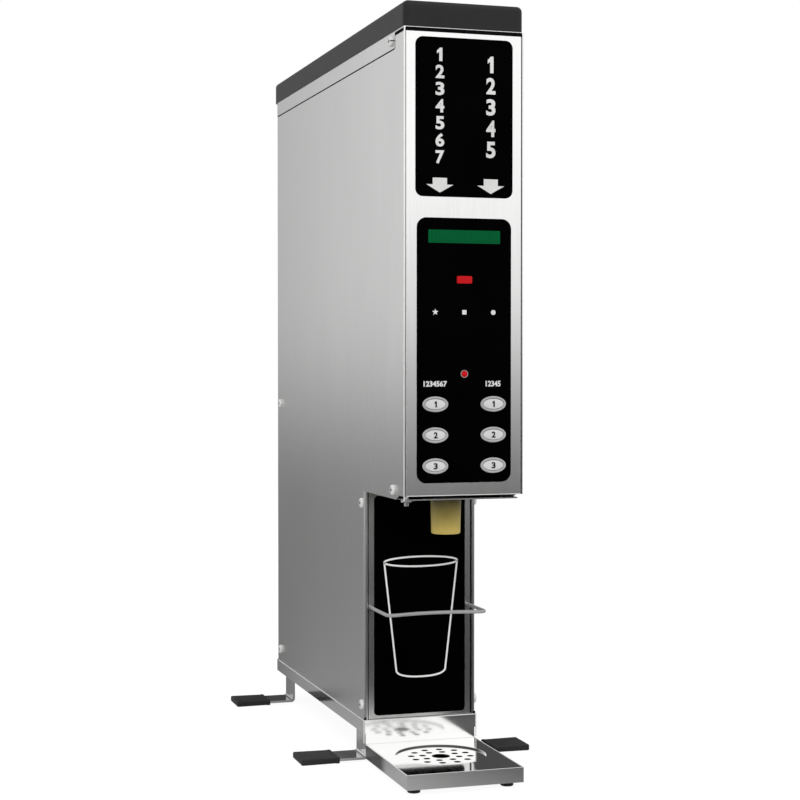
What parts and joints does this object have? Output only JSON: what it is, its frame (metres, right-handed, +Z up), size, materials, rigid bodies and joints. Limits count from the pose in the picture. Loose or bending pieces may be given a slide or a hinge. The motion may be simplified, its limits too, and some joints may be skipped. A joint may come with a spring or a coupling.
{
  "type": "dry product dispenser",
  "caption": "Tall narrow steel dispenser that pours two dry products by the portion through one nozzle on to a cup on its drip tray, with keys, display and hinged lid.",
  "frame": {"origin": "centre of the bounding box in plan, on the table", "axes": "+X to the user's right as the user faces the keys, +Y away from the user towards the rear, +Z up"},
  "size_m": [0.235, 0.5148, 0.7136],
  "materials": {
    "sheet_steel": "brushed",
    "polished_steel": "polished",
    "pan_steel": "satin",
    "screw_steel": "satin",
    "thumb_steel": "knurled",
    "lid_plastic": "fine texture",
    "label_film": "gloss",
    "display_window": "clear over a green display",
    "display_module": "satin",
    "circuit_board": "solder mask",
    "key_plastic": "gloss",
    "rim_plastic": "satin",
    "red_plastic": "gloss",
    "amber_plastic": "clear amber",
    "chute_plastic": "satin",
    "hopper_plastic": "milky",
    "screw_plastic": "satin",
    "gear_plastic": "satin",
    "motor_metal": "satin",
    "supply_metal": "satin",
    "inlet_plastic": "satin",
    "foot_rubber": "matt"
  },
  "bodies": {
    "chassis": {"side_panel_left": "sheet_steel", "side_panel_right": "sheet_steel", "front_cover": "sheet_steel", "splash_panel": "sheet_steel", "rear_panel": "sheet_steel", "deck": "sheet_steel", "top_frame": "sheet_steel", "gear_plate": "sheet_steel", "base_frame": "polished_steel", "cup_guide": "polished_steel", "leg_front_left": "polished_steel", "leg_front_right": "polished_steel", "leg_rear_left": "polished_steel", "leg_rear_right": "polished_steel", "tray_pan": "pan_steel", "case_screws": "screw_steel", "leg_screws": "screw_steel", "hinge_pins": "screw_steel", "upper_label": "label_film", "key_film": "label_film", "splash_label": "label_film", "lcd_window": "display_window", "lcd_module": "display_module", "key_board": "circuit_board", "controller": "circuit_board", "key_rims": "rim_plastic", "status_light": "red_plastic", "nozzle": "amber_plastic", "chute": "chute_plastic", "hopper_left": "hopper_plastic", "hopper_right": "hopper_plastic", "gear_motor_left": "motor_metal", "gear_motor_right": "motor_metal", "power_supply": "supply_metal", "power_inlet": "inlet_plastic", "boots": "foot_rubber", "tray_feet": "foot_rubber"},
    "lid": {"lid": "lid_plastic"},
    "tray_cover": {"tray_cover": "polished_steel"},
    "power_rocker": {"power_rocker": "inlet_plastic"},
    "cancel_key": {"cancel_key": "red_plastic"},
    "thumbscrew": {"thumbscrew": "thumb_steel"},
    "dose_key_1": {"dose_key_1": "key_plastic"},
    "dose_key_2": {"dose_key_2": "key_plastic"},
    "dose_key_3": {"dose_key_3": "key_plastic"},
    "dose_key_4": {"dose_key_4": "key_plastic"},
    "dose_key_5": {"dose_key_5": "key_plastic"},
    "dose_key_6": {"dose_key_6": "key_plastic"},
    "auger_left": {"auger_left": "screw_plastic", "auger_gear_left": "gear_plastic"},
    "agitator_left": {"agitator_left": "screw_plastic", "agitator_gear_left": "gear_plastic"},
    "pinion_left": {"pinion_left": "gear_plastic"},
    "auger_right": {"auger_right": "screw_plastic", "auger_gear_right": "gear_plastic"},
    "agitator_right": {"agitator_right": "screw_plastic", "agitator_gear_right": "gear_plastic"},
    "pinion_right": {"pinion_right": "gear_plastic"}
  },
  "joints": [
    {"name": "lid_hinge", "type": "hinge", "parent": "chassis", "child": "lid", "pos_m": [0, 0.2523, 0.696], "axis": [-1, 0, 0], "range_deg": [0, 100]},
    {"name": "tray_cover_lift", "type": "slide", "parent": "chassis", "child": "tray_cover", "axis": [0, 0, 1], "range_m": [0, 0.06]},
    {"name": "power_switch", "type": "hinge", "parent": "chassis", "child": "power_rocker", "pos_m": [0, 0.2442, 0.101], "axis": [1, 0, 0], "range_deg": [0, 16]},
    {"name": "cancel_key_press", "type": "slide", "parent": "chassis", "child": "cancel_key", "axis": [0, 1, 0], "range_m": [0, 0.0008], "stiffness_N_per_m": 500, "springref_m": -0.0005},
    {"name": "thumbscrew_turn", "type": "hinge", "parent": "chassis", "child": "thumbscrew", "pos_m": [-0.0487, -0.2322, 0.2634], "axis": [0, 0, 1], "continuous": true},
    {"name": "dose_key_1_press", "type": "slide", "parent": "chassis", "child": "dose_key_1", "axis": [0, 1, 0], "range_m": [0, 0.0008], "stiffness_N_per_m": 500, "springref_m": -0.0005},
    {"name": "dose_key_2_press", "type": "slide", "parent": "chassis", "child": "dose_key_2", "axis": [0, 1, 0], "range_m": [0, 0.0008], "stiffness_N_per_m": 500, "springref_m": -0.0005},
    {"name": "dose_key_3_press", "type": "slide", "parent": "chassis", "child": "dose_key_3", "axis": [0, 1, 0], "range_m": [0, 0.0008], "stiffness_N_per_m": 500, "springref_m": -0.0005},
    {"name": "dose_key_4_press", "type": "slide", "parent": "chassis", "child": "dose_key_4", "axis": [0, 1, 0], "range_m": [0, 0.0008], "stiffness_N_per_m": 500, "springref_m": -0.0005},
    {"name": "dose_key_5_press", "type": "slide", "parent": "chassis", "child": "dose_key_5", "axis": [0, 1, 0], "range_m": [0, 0.0008], "stiffness_N_per_m": 500, "springref_m": -0.0005},
    {"name": "dose_key_6_press", "type": "slide", "parent": "chassis", "child": "dose_key_6", "axis": [0, 1, 0], "range_m": [0, 0.0008], "stiffness_N_per_m": 500, "springref_m": -0.0005},
    {"name": "auger_left_turn", "type": "hinge", "parent": "chassis", "child": "auger_left", "pos_m": [-0.027, 0, 0.406], "axis": [0, 1, 0], "continuous": true},
    {"name": "agitator_left_turn", "type": "hinge", "parent": "chassis", "child": "agitator_left", "pos_m": [-0.027, 0, 0.44985], "axis": [0, 1, 0], "continuous": true},
    {"name": "pinion_left_turn", "type": "hinge", "parent": "chassis", "child": "pinion_left", "pos_m": [-0.027, 0, 0.37778], "axis": [0, 1, 0], "continuous": true},
    {"name": "auger_right_turn", "type": "hinge", "parent": "chassis", "child": "auger_right", "pos_m": [0.027, 0, 0.406], "axis": [0, 1, 0], "continuous": true},
    {"name": "agitator_right_turn", "type": "hinge", "parent": "chassis", "child": "agitator_right", "pos_m": [0.027, 0, 0.44985], "axis": [0, 1, 0], "continuous": true},
    {"name": "pinion_right_turn", "type": "hinge", "parent": "chassis", "child": "pinion_right", "pos_m": [0.027, 0, 0.37778], "axis": [0, 1, 0], "continuous": true}
  ],
  "couplings": [
    {"joint": "agitator_left_turn", "follows": "auger_left_turn", "ratio": -0.75},
    {"joint": "pinion_left_turn", "follows": "auger_left_turn", "ratio": -2},
    {"joint": "agitator_right_turn", "follows": "auger_right_turn", "ratio": -0.75},
    {"joint": "pinion_right_turn", "follows": "auger_right_turn", "ratio": -2}
  ]
}
